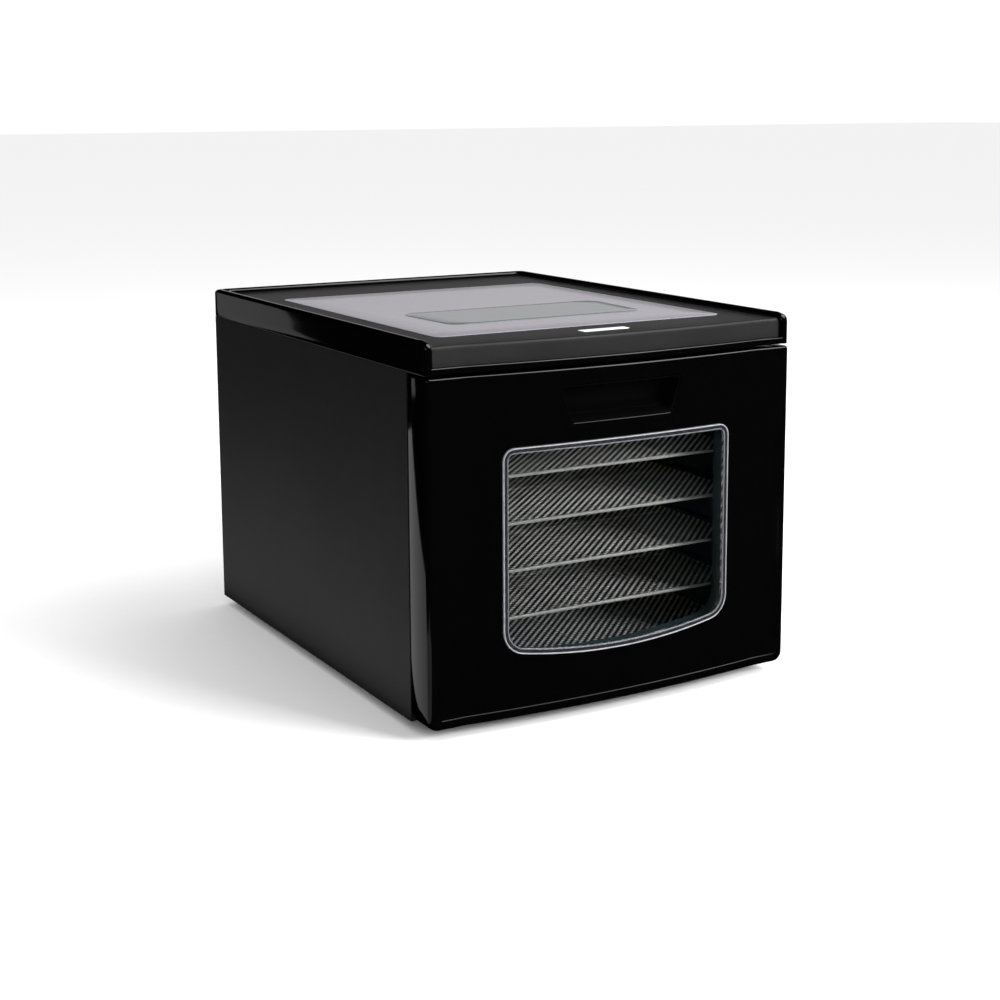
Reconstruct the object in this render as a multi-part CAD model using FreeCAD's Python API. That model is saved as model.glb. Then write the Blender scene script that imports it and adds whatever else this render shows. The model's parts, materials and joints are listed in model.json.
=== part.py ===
import FreeCAD, Part
import math
import os
from FreeCAD import Vector as V

# ---- driving dimensions, mm: X across, Y to the back, Z up, Z = 0 under the feet
HALF = 172.5          # half the width
HEIGHT = 313.0
REAR_Y = 225.0
PANEL_Y = 223.2       # back of the rear panel, inside the cover's edge
FLAT_Y = -216.0       # flat side zones of the door front
BOW = 8.2             # how far the middle of the front swells forward
BOW_HALF = 140.0      # half the width of the swelling
BEAD = 0.8            # window bead stands this far proud of the door
CORNER_R = 4.5        # vertical front corners
FOOT_H = 9.0
SKIN = 1.2            # sheet metal
WALL = 2.5            # plastic mouldings
BODY_Y = -185.0       # front plane of the cabinet
DOOR_BACK = -186.5
DOOR_TOP = 285.2
COVER_Z = 287.0
DECK_Z = 308.5        # satin deck inside the raised rim
RIM_W = 8.0
LEDGE_Z = 292.5       # gloss ledge under the deck's front lip
CHAMBER_X = 156.0     # inside half width of the drying chamber
CHAMBER_Z0 = 29.0
CHAMBER_Z1 = 260.0
BAFFLE_Y = 150.0
AXIS_Y = -208.0       # door hinge line
AXIS_Z = 24.0
ARM_X = (148.0, 153.0)
PIN_R = 2.0
SWEEP_R = 22.6        # door parts behind and below the hinge stay inside this
SILL_Y = -197.0       # the door's bottom wall ends here between the hinges, so tray 1 passes over it
SILL_X = 155.5
SCREW_HOLE = 1.6
MAGNETS = [(-120.0, 272.0), (120.0, 272.0)]
GLAND = (-118.0, 44.0)
ARM_SCREW_Z = 15.5
TRAY_Z = (38.4, 77.5, 116.6, 155.6, 194.7, 233.8)
TRAY_X = 152.0
TRAY_Y = (-182.0, 138.0)
ROD_R = 1.5
FAN_Z = 145.0
WIN_X = 108.0         # window: half width, top, lowest point, bottom arc radius
WIN_TOP = 226.0
WIN_LOW = 52.7
WIN_ARC = 555.0

parts = {}


def box(x0, x1, y0, y1, z0, z1):
    return Part.makeBox(x1 - x0, y1 - y0, z1 - z0, V(x0, y0, z0))


def rod(a, b, r):
    """Round bar of radius r from point a to point b."""
    a = V(*a)
    b = V(*b)
    return Part.makeCylinder(r, (b - a).Length, a, b - a)


def fuse(shapes):
    shapes = list(shapes)
    return shapes[0].multiFuse(shapes[1:]).removeSplitter() if len(shapes) > 1 else shapes[0]


def both(shape):
    """The shape and its mirror image across X = 0."""
    return [shape, shape.mirror(V(0, 0, 0), V(1, 0, 0))]


def outline(points, place):
    """Closed wire through (u, v, radius) points, each corner rounded by its radius."""
    ends = []
    count = len(points)
    for i, (u, v, r) in enumerate(points):
        p = V(u, v, 0)
        a = V(points[i - 1][0], points[i - 1][1], 0)
        b = V(points[(i + 1) % count][0], points[(i + 1) % count][1], 0)
        da = (a - p).normalize()
        db = (b - p).normalize()
        turn = da.getAngle(db)
        reach = r / math.tan(turn / 2)
        mid = (da + db).normalize()
        near = p + mid * (r / math.sin(turn / 2) - r)
        ends.append((p + da * reach, near, p + db * reach, r))
    edges = []
    for i, (start, near, stop, r) in enumerate(ends):
        if r > 0:
            edges.append(Part.Arc(place(start), place(near), place(stop)).toShape())
        following = ends[(i + 1) % count][0]
        if (following - stop).Length > 1e-6:
            edges.append(Part.LineSegment(place(stop), place(following)).toShape())
    return Part.Wire(edges)


def prism_z(points, z0, z1):
    wire = outline(points, lambda p: V(p.x, p.y, z0))
    return Part.Face(wire).extrude(V(0, 0, z1 - z0))


def prism_y(points, y0, y1):
    wire = outline(points, lambda p: V(p.x, y0, p.y))
    return Part.Face(wire).extrude(V(0, y1 - y0, 0))


def prism_x(points, x0, x1):
    wire = outline(points, lambda p: V(x0, p.x, p.y))
    return Part.Face(wire).extrude(V(x1 - x0, 0, 0))


def rect(x0, x1, z0, z1, r):
    return [(x0, z0, r), (x1, z0, r), (x1, z1, r), (x0, z1, r)]


def bowed_wire(half, inset, y_back, z):
    """Plan outline at height z: flat at both sides, swollen in the middle, round front corners."""
    y = FLAT_Y + inset
    r = max(CORNER_R - inset, 0.4)
    k = r * (1 - math.sqrt(0.5))
    side = BOW_HALF
    pts = [V(-half, y_back, z), V(-half, y + r, z), V(-half + r, y, z), V(-side, y, z)]
    pts += [V(side, y, z), V(half - r, y, z), V(half, y + r, z), V(half, y_back, z)]
    edges = [Part.LineSegment(pts[0], pts[1]).toShape()]
    edges.append(Part.Arc(pts[1], V(-half + k, y + k, z), pts[2]).toShape())
    edges.append(Part.LineSegment(pts[2], pts[3]).toShape())
    edges.append(Part.Arc(pts[3], V(0, y - BOW, z), pts[4]).toShape())
    edges.append(Part.LineSegment(pts[4], pts[5]).toShape())
    edges.append(Part.Arc(pts[5], V(half - k, y + k, z), pts[6]).toShape())
    edges.append(Part.LineSegment(pts[6], pts[7]).toShape())
    edges.append(Part.LineSegment(pts[7], pts[0]).toShape())
    return Part.Wire(edges)


def bowed(half, inset, y_back, z0, z1):
    """Block with the bowed front from z0 to z1."""
    return Part.Face(bowed_wire(half, inset, y_back, z0)).extrude(V(0, 0, z1 - z0))


def eased(half, y_back, levels):
    """Block with the bowed front whose inset changes with height, for rounded long edges."""
    wires = [bowed_wire(half, inset, y_back, z) for z, inset in levels]
    return Part.makeLoft(wires, True, True)


def window(inset, y0, y1):
    """Window outline drawn in by inset: straight sides and top, sagging bottom, round corners."""
    w = WIN_X - inset
    top = WIN_TOP - inset
    rt = 10.0 - inset
    rb = 20.0 - inset
    arc_r = WIN_ARC - inset
    zc = WIN_LOW + WIN_ARC
    drop = math.sqrt((arc_r - rb) ** 2 - (w - rb) ** 2)
    cz = zc - drop
    ax = (w - rb) * arc_r / (arc_r - rb)
    az = zc - drop * arc_r / (arc_r - rb)
    lean = math.atan2(drop, w - rb) / 2
    mx = w - rb + rb * math.cos(lean)
    mz = cz - rb * math.sin(lean)
    k = rt * (1 - math.sqrt(0.5))
    s = V(w, y0, cz)
    edges = [Part.LineSegment(s, V(w, y0, top - rt)).toShape()]
    edges.append(Part.Arc(V(w, y0, top - rt), V(w - k, y0, top - k), V(w - rt, y0, top)).toShape())
    edges.append(Part.LineSegment(V(w - rt, y0, top), V(rt - w, y0, top)).toShape())
    edges.append(Part.Arc(V(rt - w, y0, top), V(k - w, y0, top - k), V(-w, y0, top - rt)).toShape())
    edges.append(Part.LineSegment(V(-w, y0, top - rt), V(-w, y0, cz)).toShape())
    edges.append(Part.Arc(V(-w, y0, cz), V(-mx, y0, mz), V(-ax, y0, az)).toShape())
    edges.append(Part.Arc(V(-ax, y0, az), V(0, y0, WIN_LOW + inset), V(ax, y0, az)).toShape())
    edges.append(Part.Arc(V(ax, y0, az), V(mx, y0, mz), s).toShape())
    return Part.Face(Part.Wire(edges)).extrude(V(0, y1 - y0, 0))


def screw(p, d, head=3.2, cap=1.6, shank=1.5, length=6.0):
    """Pan head screw: the head stands on p, the shank runs from p along d."""
    p = V(*p)
    d = V(*d)
    whole = Part.makeCylinder(head, cap, p, d * -1).fuse(Part.makeCylinder(shank, length, p, d))
    slot = Part.makeBox(head * 1.3, 0.7, 0.7, V(-head * 0.65, -0.35, -0.35))
    cross = slot.fuse(slot.rotated(V(0, 0, 0), V(0, 0, 1), 90))
    cross.Placement = FreeCAD.Placement(p - d * cap, FreeCAD.Rotation(V(0, 0, 1), d))
    return whole.cut(cross)


def hole(p, d, r, length):
    p = V(*p)
    d = V(*d)
    return Part.makeCylinder(r, length, p - d * (length / 2), d)


# ---- screw positions
base_screws = [(s * 165.0, y, FOOT_H) for s in (-1, 1) for y in (-150.0, 20.0, 190.0)]
rear_screws = [(x, PANEL_Y, z) for x in (-165.0, 0.0, 165.0) for z in (16.5, 276.0)]
rear_screws += [(s * 165.0, PANEL_Y, 146.0) for s in (-1, 1)]
feet = [(sx * 130.0, y) for sx in (-1, 1) for y in (-172.0, 185.0)]

# ---- cabinet sheet metal
SIDE_BACK = PANEL_Y - SKIN
PANEL_TOP = COVER_Z - 0.2
skin = box(-HALF, -HALF + SKIN, BODY_Y, SIDE_BACK, FOOT_H, PANEL_TOP)
skin = skin.fuse(box(-HALF + SKIN, -166.0, BODY_Y, BODY_Y + SKIN, FOOT_H, PANEL_TOP))
skin = skin.fuse(box(-HALF + SKIN, -160.0, BODY_Y, SIDE_BACK, FOOT_H, FOOT_H + SKIN))
skin = skin.fuse(box(-HALF + SKIN, -160.0, BODY_Y, SIDE_BACK, PANEL_TOP - SKIN, PANEL_TOP))
skin = skin.fuse(box(-HALF + SKIN, -160.0, SIDE_BACK - SKIN, SIDE_BACK, FOOT_H, PANEL_TOP))
skin = skin.removeSplitter()
bored = [hole(p, (0, 0, 1), SCREW_HOLE, 12) for p in base_screws]
bored += [hole(p, (0, 1, 0), SCREW_HOLE, 20) for p in rear_screws]
drilled = fuse(bored)
for name, side in zip(("left_side_panel", "right_side_panel"), both(skin)):
    parts[name] = side.cut(drilled)

rear = box(-HALF, HALF, SIDE_BACK, PANEL_Y, FOOT_H, PANEL_TOP)
rear = rear.cut(drilled)
slots = []
for ring in range(4):
    for step in range(6 + 4 * ring):
        a = 360.0 * step / (6 + 4 * ring)
        r = 16.0 + 15.0 * ring
        x = r * math.cos(math.radians(a))
        z = FAN_Z + r * math.sin(math.radians(a))
        slots.append(hole((x, PANEL_Y, z), (0, 1, 0), 4.0, 12))
for row in range(6):
    for s in (-1, 1):
        z = 216.0 + 9.0 * row
        c = s * 112.0
        bar = [(c - 26, z, 1.9), (c + 26, z, 1.9), (c + 26, z + 4, 1.9), (c - 26, z + 4, 1.9)]
        slots.append(prism_y(bar, REAR_Y - 6, REAR_Y + 2))
slots.append(hole((GLAND[0], PANEL_Y, GLAND[1]), (0, 1, 0), 7.1, 20))
parts["rear_panel"] = rear.cut(Part.makeCompound(slots))
parts["rear_screws"] = Part.makeCompound([screw(p, (0, -1, 0)) for p in rear_screws])

PAN_Z = FOOT_H + SKIN
pan = box(-171.0, 171.0, BODY_Y + 1.6, SIDE_BACK - 1.6, PAN_Z, PAN_Z + SKIN)
pan = pan.fuse(box(-165.0, 165.0, BODY_Y + 4.0, BODY_Y + 5.2, PAN_Z, 26.0))
for x in (-70.0, 0.0, 70.0):
    pan = pan.fuse(box(x - 6, x + 6, -150, 130, PAN_Z + SKIN, PAN_Z + 4.0))
pan = pan.cut(drilled).cut(fuse(hole((x, y, PAN_Z), (0, 0, 1), 2.1, 14) for x, y in feet))
parts["base_pan"] = pan.removeSplitter()
pads = []
for x, y in feet:
    pad = Part.makeCone(10.5, 12.0, PAN_Z, V(x, y, 0), V(0, 0, 1))
    pad = pad.cut(Part.makeCylinder(4.5, 5.0, V(x, y, 0))).cut(Part.makeCylinder(2.1, PAN_Z, V(x, y, 0)))
    pads.append(pad)
parts["feet"] = Part.makeCompound(pads)
parts["foot_screws"] = Part.makeCompound([screw((x, y, 5.0), (0, 0, 1), 4.0, 2.0, 2.0, 9.0) for x, y in feet])
parts["base_screws"] = Part.makeCompound([screw(p, (0, 0, 1), 3.2, 1.6, 1.5, 6.0) for p in base_screws])

lid = box(-171.0, 171.0, BODY_Y + 4.0, SIDE_BACK - 1.6, PANEL_TOP - 2 * SKIN, PANEL_TOP - SKIN)
parts["chassis_top"] = lid.cut(box(-30, 30, -150, -90, COVER_Z - 4, COVER_Z)).cut(drilled)

# ---- chamber
frame = prism_y(rect(-165.8, 165.8, 12.0, 286.0, 3.0), BODY_Y, BODY_Y + 3.5)
frame = frame.cut(prism_y(rect(-CHAMBER_X, CHAMBER_X, CHAMBER_Z0, CHAMBER_Z1, 4.0), BODY_Y - 1, BODY_Y + 5))
for x, z in MAGNETS:
    frame = frame.cut(box(x - 14.1, x + 14.1, BODY_Y - 1, BODY_Y + 5, z - 5.1, z + 5.1))
arm_screws = [(s * (ARM_X[0] + 2.5), BODY_Y, ARM_SCREW_Z) for s in (-1, 1)]
parts["front_frame"] = frame.cut(fuse(hole(p, (0, 1, 0), SCREW_HOLE, 9) for p in arm_screws))
parts["base_pan"] = parts["base_pan"].cut(fuse(hole(p, (0, 1, 0), SCREW_HOLE, 20) for p in arm_screws))
parts["catch_magnets"] = Part.makeCompound(
    [box(x - 14, x + 14, BODY_Y, BODY_Y + 6, z - 5, z + 5) for x, z in MAGNETS])
wall = box(-CHAMBER_X - 1.2, -CHAMBER_X, BODY_Y + 5.3, BAFFLE_Y, CHAMBER_Z0 - 1.2, CHAMBER_Z1 + 1.2)
parts["left_chamber_wall"], parts["right_chamber_wall"] = both(wall)
rails = []
for z in TRAY_Z:
    for a, b in ((z - ROD_R - 2.7, z - ROD_R - 0.3), (z + ROD_R + 1.0, z + ROD_R + 3.2)):
        bar = [(-CHAMBER_X, a, 0), (-CHAMBER_X, b, 0), (-148.5, b - 0.4, 0.3), (-148.5, a + 0.4, 0.3)]
        rails.append(prism_y(bar, BODY_Y + 7, BAFFLE_Y - 6))
parts["left_tray_rails"] = Part.makeCompound(rails)
parts["right_tray_rails"] = Part.makeCompound([r.mirror(V(0, 0, 0), V(1, 0, 0)) for r in rails])
parts["chamber_ceiling"] = box(-CHAMBER_X, CHAMBER_X, BODY_Y + 5.3, BAFFLE_Y, CHAMBER_Z1, CHAMBER_Z1 + 1.2)
parts["chamber_floor"] = box(-CHAMBER_X, CHAMBER_X, BODY_Y + 5.3, BAFFLE_Y, CHAMBER_Z0 - 1.2, CHAMBER_Z0)
baffle = box(-158.0, 158.0, BAFFLE_Y, BAFFLE_Y + 1.2, CHAMBER_Z0 - 1.2, CHAMBER_Z1 + 1.2)
vents = []
for ring in range(5):
    for step in range(6 + 6 * ring):
        a = math.radians(360.0 * step / (6 + 6 * ring))
        r = 12.0 + 12.0 * ring
        vents.append(hole((r * math.cos(a), BAFFLE_Y, FAN_Z + r * math.sin(a)), (0, 1, 0), 3.4, 8))
for sx in (-1, 1):
    for col in range(3):
        for row in range(14):
            z = 44.0 + 15.4 * row
            c = sx * (104.0 + 18.0 * col)
            vents.append(prism_y(rect(c - 6, c + 6, z - 2, z + 2, 1.9), BAFFLE_Y - 2, BAFFLE_Y + 3))
parts["rear_baffle"] = baffle.cut(Part.makeCompound(vents))

# ---- air and heat, behind the baffle
F0 = BAFFLE_Y + 1.2
shroud = Part.makeCylinder(80.0, 2.0, V(0, F0, FAN_Z), V(0, 1, 0))
shroud = shroud.fuse(Part.makeCylinder(66.0, 22.0, V(0, F0, FAN_Z), V(0, 1, 0)))
parts["fan_shroud"] = shroud.cut(Part.makeCylinder(64.0, 60.0, V(0, F0 - 5, FAN_Z), V(0, 1, 0)))
hub = Part.makeCylinder(15.0, 14.0, V(0, F0 + 6, FAN_Z), V(0, 1, 0))
blades = []
for k in range(7):
    blade = Part.makeBox(47.0, 1.6, 22.0, V(13.0, -0.8, -11.0))
    blade.rotate(V(0, 0, 0), V(1, 0, 0), 32)
    blade.rotate(V(0, 0, 0), V(0, 1, 0), 360.0 * k / 7)
    blade.translate(V(0, F0 + 13, FAN_Z))
    blades.append(blade)
rotor = fuse([hub] + blades)
parts["fan_rotor"] = rotor.cut(Part.makeCylinder(2.5, 40.0, V(0, F0, FAN_Z), V(0, 1, 0)))
parts["fan_shaft"] = Part.makeCylinder(2.5, 36.0, V(0, F0 + 6, FAN_Z), V(0, 1, 0))
MOTOR_Y = F0 + 30.0
motor = Part.makeCylinder(27.0, 26.0, V(0, MOTOR_Y, FAN_Z), V(0, 1, 0))
motor = motor.fuse(Part.makeCylinder(8.0, 30.0, V(0, MOTOR_Y - 2, FAN_Z), V(0, 1, 0)))
motor = motor.cut(Part.makeCylinder(2.55, 16.0, V(0, MOTOR_Y - 3, FAN_Z), V(0, 1, 0)))
parts["fan_motor"] = motor.removeSplitter()
strap = prism_y([(-96, FAN_Z - 12, 3), (96, FAN_Z - 12, 3), (96, FAN_Z + 12, 3), (-96, FAN_Z + 12, 3)],
                MOTOR_Y - 2.0, MOTOR_Y)
strap = strap.cut(Part.makeCylinder(8.0, 20.0, V(0, MOTOR_Y - 8, FAN_Z), V(0, 1, 0)))
legs = [rod((s * 90.0, F0, FAN_Z), (s * 90.0, MOTOR_Y - 2.0, FAN_Z), 4.0) for s in (-1, 1)]
parts["motor_bracket"] = fuse([strap] + legs)
ring = Part.makeTorus(73.0, 3.2, V(0, F0 + 12, FAN_Z), V(0, 1, 0))
tails = [rod((x, F0 + 12, FAN_Z + 71.5), (x, F0 + 12, FAN_Z + 96), 3.2) for x in (-9.0, 9.0)]
parts["ring_heater"] = fuse([ring] + tails)
clips = []
for a in (20, 160, 230, 310):
    c = V(73 * math.cos(math.radians(a)), F0 + 5.4, FAN_Z + 73 * math.sin(math.radians(a)))
    clip = box(c.x - 4, c.x + 4, F0 + 2.0, F0 + 8.6, c.z - 4, c.z + 4)
    clips.append(clip)
parts["heater_clips"] = Part.makeCompound(clips)
parts["thermostat"] = Part.makeCylinder(9, 9, V(60, F0, 236), V(0, 1, 0)).fuse(
    box(52, 68, F0 + 9, F0 + 12, 234.5, 237.5))
parts["thermal_fuse"] = rod((28, F0 + 4, 238), (46, F0 + 4, 238), 3.0)
board = box(86.0, 88.0, 166.0, 214.0, 40.0, 130.0)
components = ((176, 58, 10, 16), (196, 60, 8, 20), (190, 92, 14, 12), (176, 118, 7, 9), (204, 116, 6, 14))
for y, z, s, h in components:
    board = board.fuse(box(88.0, 88.0 + h, y - s / 2, y + s / 2, z - s / 2, z + s / 2))
parts["power_board"] = board.fuse(box(86.0, 88.0, 166.0, 172.0, 31.0, 40.0)).removeSplitter()
block = box(-140.0, -96.0, F0, F0 + 14, 34.0, 50.0)
parts["terminal_block"] = block.cut(fuse(hole((x, F0 + 14, 42.0), (0, 1, 0), 2.4, 10)
                                         for x in (-134.0, -124.0, -114.0, -104.0)))
loom = []
for k, x in enumerate((-124.0, -114.0, -104.0)):
    y = F0 + 16.0 + 4 * k
    path = [(x, F0 + 14.2, 53.0), (x, y, 56.0)]
    path += [(-100.0 + 5 * k, y + 20, 120.0), (-60.0 + 5 * k, y + 20, 244.0)]
    loom += [rod(a, b, 1.2) for a, b in zip(path, path[1:])]
    loom += [Part.makeSphere(1.2, V(*p)) for p in path[1:-1]]
parts["wiring_loom"] = Part.makeCompound([fuse(loom[i:i + 5]) for i in (0, 5, 10)])
gland = Part.makeCylinder(7.0, 13.8, V(GLAND[0], PANEL_Y - 12, GLAND[1]), V(0, 1, 0))
gland = gland.fuse(Part.makeCylinder(10.0, 1.8, V(GLAND[0], PANEL_Y, GLAND[1]), V(0, 1, 0)))
gland = gland.cut(Part.makeCylinder(3.6, 30.0, V(GLAND[0], PANEL_Y - 20, GLAND[1]), V(0, 1, 0)))
parts["cord_gland"] = gland.removeSplitter()

# ---- top
cover = bowed(HALF, 0.0, REAR_Y, COVER_Z, HEIGHT)
tall = [e for e in cover.Edges if e.BoundBox.ZMin > HEIGHT - 0.01 and e.BoundBox.YMax > -200]
cover = cover.makeFillet(3.6, tall)
bay = prism_z([(-HALF + RIM_W, -260, 0), (HALF - RIM_W, -260, 0), (HALF - RIM_W, REAR_Y - RIM_W, 7),
               (-HALF + RIM_W, REAR_Y - RIM_W, 7)], LEDGE_Z, HEIGHT + 5)
cover = cover.cut(bay)
nose = prism_x([(-230, COVER_Z, 0), (230, COVER_Z, 0), (230, HEIGHT, 0), (FLAT_Y, HEIGHT, 9.0),
                (FLAT_Y, LEDGE_Z, 0), (-230, LEDGE_Z, 0)], -200, 200)
cover = cover.common(nose)
hollow = box(-HALF + WALL, HALF - WALL, -207.0, REAR_Y - WALL, COVER_Z - 1, LEDGE_Z - 2.0)
parts["top_cover"] = cover.cut(hollow)
roll = [(LEDGE_Z, 4.0), (DECK_Z - 3.5, 4.0), (DECK_Z - 1.7, 4.5), (DECK_Z - 0.5, 5.7), (DECK_Z, 7.5)]
deck = eased(HALF, 100.0, roll).common(box(-HALF + RIM_W, HALF - RIM_W, -260, 100, LEDGE_Z, DECK_Z))
back = prism_z([(-HALF + RIM_W, 99, 0), (HALF - RIM_W, 99, 0), (HALF - RIM_W, REAR_Y - RIM_W, 7),
                (-HALF + RIM_W, REAR_Y - RIM_W, 7)], LEDGE_Z, DECK_Z)
deck = deck.fuse(back).removeSplitter()
deck = deck.cut(box(-HALF + RIM_W + WALL, HALF - RIM_W - WALL, -204, REAR_Y - 12, LEDGE_Z - 1, DECK_Z - WALL))
parts["top_deck"] = deck
parts["top_inlay"] = prism_z([(-138, -168, 9), (138, -168, 9), (138, 140, 9), (-138, 140, 9)],
                             DECK_Z, DECK_Z + 0.5)
parts["touch_panel"] = prism_z([(-92, -112, 14), (96, -112, 14), (101, -22, 14), (-97, -22, 14)],
                               DECK_Z + 0.5, DECK_Z + 0.9)
parts["badge"] = prism_z([(-22, -201, 1.5), (22, -201, 1.5), (22, -189, 1.5), (-22, -189, 1.5)],
                         DECK_Z, DECK_Z + 0.4)
control = box(-90, 90, -112, -28, 302.4, 304.0)
for x in (-70, -42, -14, 14, 42, 70):
    control = control.fuse(Part.makeCylinder(5, 2.0, V(x, -90, 304.0)))
control = control.fuse(box(-60, -36, -60, -40, 298.4, 302.4)).fuse(box(10, 34, -70, -44, 299.4, 302.4))
parts["control_board"] = control
parts["display_module"] = box(-30, 30, -64, -40, 304.0, 306.0)

# ---- door
def door_block(inset):
    """Solid door outline with eased top and bottom edges and round lower corners."""
    levels = [(FOOT_H, 2.6), (FOOT_H + 0.8, 1.1), (FOOT_H + 2.6, 0.0)]
    levels += [(DOOR_TOP - 2.0, 0.0), (DOOR_TOP - 0.6, 0.6), (DOOR_TOP, 1.8)]
    block = eased(HALF, DOOR_BACK, [(z, extra + inset) for z, extra in levels])
    return block.common(prism_y([(-HALF, FOOT_H, 8.5), (HALF, FOOT_H, 8.5), (HALF, DOOR_TOP, 2.5),
                                 (-HALF, DOOR_TOP, 2.5)], -230, -180))


STEP = 8.0
BORDER = 0.7
SKIN_BACK = 3.0
sunk = prism_y(rect(STEP - HALF, HALF - STEP, FOOT_H + STEP, DOOR_TOP - 6, 4.0), -230, -200)
sunk = sunk.cut(bowed(HALF, 0.0, -190, 0, 300))
shell = door_block(-BORDER).cut(sunk)
inside = bowed(HALF - WALL, SKIN_BACK, DOOR_BACK + 1, FOOT_H + WALL, DOOR_TOP - WALL)
shell = shell.cut(inside)
keep = prism_x([(-240, FOOT_H - 5, 0), (AXIS_Y, FOOT_H - 5, 0), (AXIS_Y, 40, 0), (-180, 40, 0),
                (-180, 300, 0), (-240, 300, 0)], -200, 200)
keep = keep.fuse(Part.makeCylinder(SWEEP_R, 400, V(-200, AXIS_Y, AXIS_Z), V(1, 0, 0)))
keep = keep.fuse(box(-200, 200, AXIS_Y, DOOR_BACK + 1, AXIS_Z - 7, 41))
shell = shell.common(keep)
shell = shell.cut(box(-SILL_X, SILL_X, SILL_Y, -180, FOOT_H - 1, FOOT_H + WALL + 0.5))
for s in (-1, 1):
    lo, hi = sorted((s * (ARM_X[0] - 0.6), s * (ARM_X[1] + 0.6)))
    shell = shell.cut(box(lo, hi, -214.0, -180, FOOT_H - 1, FOOT_H + WALL + 0.5))
    for a, b in ((ARM_X[0] - 5.0, ARM_X[0] - 0.4), (ARM_X[1] + 0.4, ARM_X[1] + 5.0)):
        lo, hi = sorted((s * a, s * b))
        boss = box(lo, hi, -213.2, AXIS_Y, FOOT_H + WALL, AXIS_Z + 5)
        boss = boss.fuse(Part.makeCylinder(5.0, hi - lo, V(lo, AXIS_Y, AXIS_Z), V(1, 0, 0)))
        shell = shell.fuse(boss)
shell = shell.cut(fuse(Part.makeCylinder(PIN_R, 24, V(s * 150.5 - 12, AXIS_Y, AXIS_Z), V(1, 0, 0))
                       for s in (-1, 1)))
shell = shell.cut(window(0.0, -240, -195))
POCKET = [(-48.0, 241.0, 5.0), (48.0, 241.0, 5.0), (58.0, 271.0, 2.5), (-58.0, 271.0, 2.5)]
shell = shell.cut(prism_y(POCKET, -240, -195))
parts["door_shell"] = shell.removeSplitter()

FLANGE = 4.2          # back of the window's flange and of its seal, behind the face
SEAL = 5.0
REVEAL = -1.0         # the collar behind the window is this much wider than the window
pane = window(0.15, -240, -200)
bead = pane.cut(window(5.0, -241, -199))
outer = bowed(HALF, -BEAD, -190, 0, 300)
inner = bowed(HALF, 2.6, -180, -1, 301)
bead = bead.common(outer).cut(inner)
pane = pane.common(bowed(HALF, 0.6, -190, 0, 300)).cut(inner)
flange_back = bowed(HALF, FLANGE, -180, -1, 301)
neck = window(0.15, -240, -190).cut(window(2.2, -241, -189))
neck = neck.common(bowed(HALF, 2.0, -190, 0, 300)).cut(flange_back)
flange = window(-3.0, -240, -190).cut(window(2.2, -241, -189))
flange = flange.common(bowed(HALF, SKIN_BACK + 0.1, -190, 0, 300)).cut(flange_back)
parts["door_window"] = pane.fuse([bead, neck, flange]).removeSplitter()
seal = window(-3.0, -240, -190).cut(window(0.2, -241, -189))
parts["window_gasket"] = seal.common(flange_back).common(box(-200, 200, -240, -210.6, 0, 300)).cut(
    bowed(HALF, SEAL, -180, -1, 301))
panel = prism_y(rect(-167.0, 167.0, 31.0, 281.0, 5.0), -200.0, -198.0)
collar = window(-3.0, -240, -198).common(bowed(HALF, SEAL + 0.1, -190, -1, 301))
panel = panel.fuse(collar).cut(window(REVEAL, -241, -190))
screw_spots = ((158, 44), (158, 160), (120, 245), (158, 272))
door_screws = [(s * x, -198.0, z) for s in (-1, 1) for x, z in screw_spots]
panel = panel.cut(fuse(hole(p, (0, 1, 0), SCREW_HOLE, 12) for p in door_screws))
parts["door_inner_frame"] = panel.removeSplitter()
parts["door_screws"] = Part.makeCompound([screw(p, (0, -1, 0), 3.0, 1.5, 1.5, 7) for p in door_screws])
strikes = [box(x - 14, x + 14, -198.0, -186.7, z - 5, z + 5) for x, z in MAGNETS]
parts["door_strikes"] = Part.makeCompound(strikes)

cup = prism_y(POCKET, -240, -204.0)
cup = cup.common(bowed(HALF, 0.0, -200, 0, 300))
hood = prism_y([(-60.0, 247.0, 3), (60.0, 247.0, 3), (60.0, 277.5, 3), (-60.0, 277.5, 3)], -212.0, -201.0)
cup = cup.fuse(hood)
void = [(-240, 243.0, 0), (-219, 243.0, 0), (-214, 246.0, 1.0), (-203.0, 252.0, 2.0), (-203.0, 275.5, 3.0),
        (-210.5, 275.5, 1.5), (-213.5, 269.0, 0.5), (-240, 269.0, 0)]
cavity = prism_x(void, -70, 70)
funnel = prism_y([(-46.2, 241.5, 4), (46.2, 241.5, 4), (56.6, 272.5, 1.5), (-56.6, 272.5, 1.5)], -241, -213)
rear_room = [(-46.2, 243, 4), (46.2, 243, 4), (57.5, 277, 3), (-57.5, 277, 3)]
funnel = funnel.fuse(prism_y(rear_room, -213.2, -203))
parts["handle_cup"] = cup.cut(cavity.common(funnel)).removeSplitter()

arm = box(ARM_X[0], ARM_X[1], AXIS_Y, BODY_Y, AXIS_Z - 4.6, AXIS_Z + 4.6)
arm = arm.fuse(Part.makeCylinder(4.6, ARM_X[1] - ARM_X[0], V(ARM_X[0], AXIS_Y, AXIS_Z), V(1, 0, 0)))
arm = arm.fuse(box(ARM_X[0], ARM_X[1], BODY_Y - 1.5, BODY_Y, 12.5, AXIS_Z + 4.6))
arm = arm.cut(Part.makeCylinder(PIN_R + 0.06, 20, V(140, AXIS_Y, AXIS_Z), V(1, 0, 0)))
arm = arm.cut(hole((ARM_X[0] + 2.5, BODY_Y, ARM_SCREW_Z), (0, 1, 0), SCREW_HOLE, 9)).removeSplitter()
parts["hinge_arms"] = Part.makeCompound(both(arm))
parts["hinge_arm_screws"] = Part.makeCompound(
    [screw((p[0], BODY_Y - 1.5, p[2]), (0, 1, 0), 2.3, 0.8, 1.5, 9) for p in arm_screws])
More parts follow.
